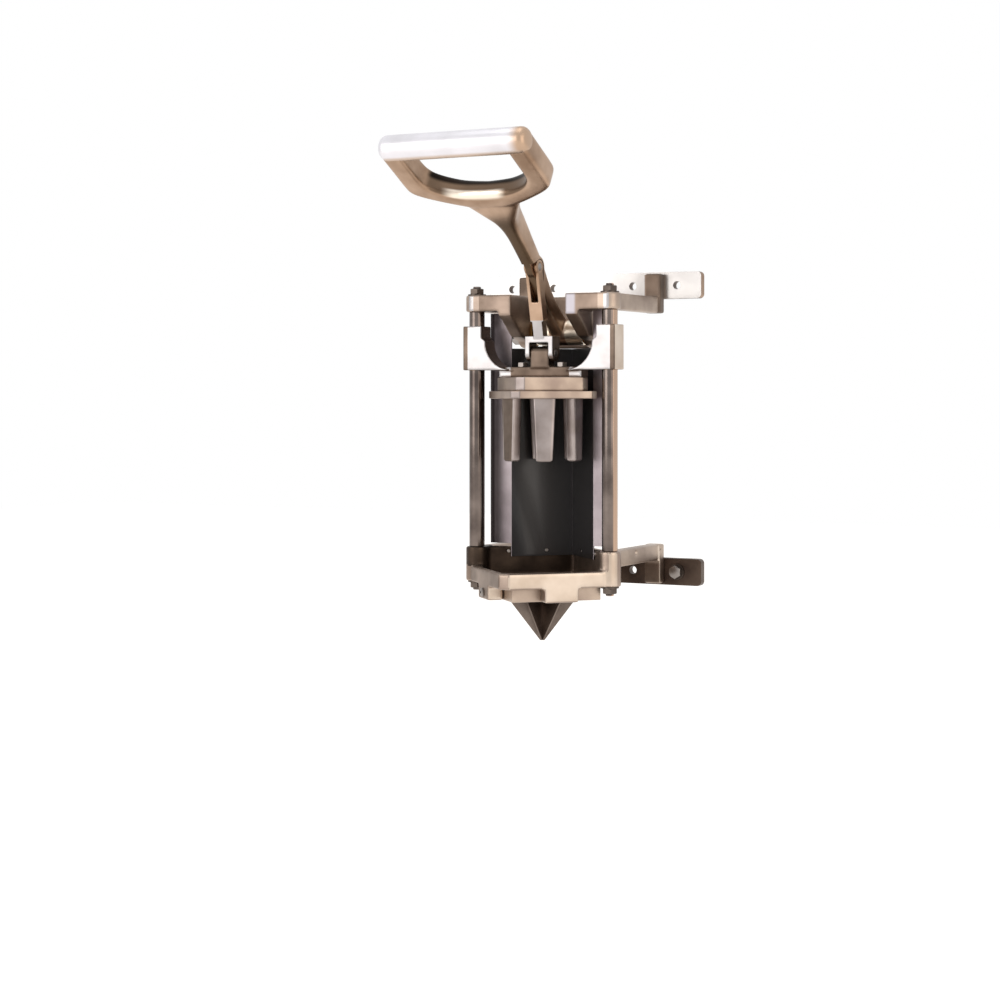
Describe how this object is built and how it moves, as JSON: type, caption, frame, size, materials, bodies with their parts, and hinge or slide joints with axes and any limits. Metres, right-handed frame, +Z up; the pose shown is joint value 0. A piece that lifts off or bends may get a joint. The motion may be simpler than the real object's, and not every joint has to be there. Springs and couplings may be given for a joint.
{
  "type": "potato wedge cutter",
  "caption": "Wall-mounted lever cutter: a crosshead on guide rods pushes a potato through radial blades into wedges.",
  "frame": {"origin": "middle of the rectangle of the rails' inner mounting holes, on the wall plane", "axes": "+X to the operator's right, +Y into the wall, +Z up"},
  "size_m": [0.2666, 0.3827, 0.5309],
  "materials": {
    "rail": "polished",
    "cast": "satin cast",
    "bright_cast": "polished cast",
    "handle": "satin cast",
    "rod": "ground and polished",
    "screw": "plain",
    "guard": "satin",
    "blade": "ground",
    "bronze": "sintered"
  },
  "bodies": {
    "frame": {"upper_wall_rail": "rail", "lower_wall_rail": "cast", "rail_screws": "screw", "lag_screws": "screw", "lag_washers": "screw", "head_casting": "cast", "base_casting": "cast", "left_guide_rod": "rod", "right_guide_rod": "rod", "rod_nuts": "screw", "rod_washers": "screw", "back_guard": "guard", "guard_screws": "screw", "blade_frame": "cast", "wedge_blades": "blade", "blade_frame_screws": "screw", "pivot_shaft": "rod", "shaft_nuts": "screw", "shaft_washers": "screw", "friction_washers": "bronze"},
    "pusher": {"crosshead": "bright_cast", "guide_bushes": "bronze", "lug_bush": "bronze", "pusher_bolts": "screw", "pusher_block": "cast", "pusher_plate": "bright_cast", "plate_screws": "screw", "pusher_fingers": "bright_cast", "finger_screws": "screw"},
    "lever": {"lever": "handle", "lever_bushes": "bronze", "link_pin": "screw"},
    "link": {"link": "bright_cast", "fork_pins": "screw"}
  },
  "joints": [
    {"name": "lever_pivot", "type": "hinge", "parent": "frame", "child": "lever", "pos_m": [0, -0.089, 0.1065], "axis": [1, 0, 0], "range_deg": [0, 90]},
    {"name": "pusher_slide", "type": "slide", "parent": "frame", "child": "pusher", "axis": [0, 0, -1], "range_m": [0, 0.138]},
    {"name": "link_pivot", "type": "hinge", "parent": "lever", "child": "link", "pos_m": [0, -0.158, 0.1755], "axis": [1, 0, 0], "range_deg": [-90, 0]}
  ],
  "couplings": [
    {"joint": "pusher_slide", "follows": "lever_pivot", "m_per_rad": 0.087853},
    {"joint": "link_pivot", "follows": "lever_pivot", "ratio": -1}
  ]
}
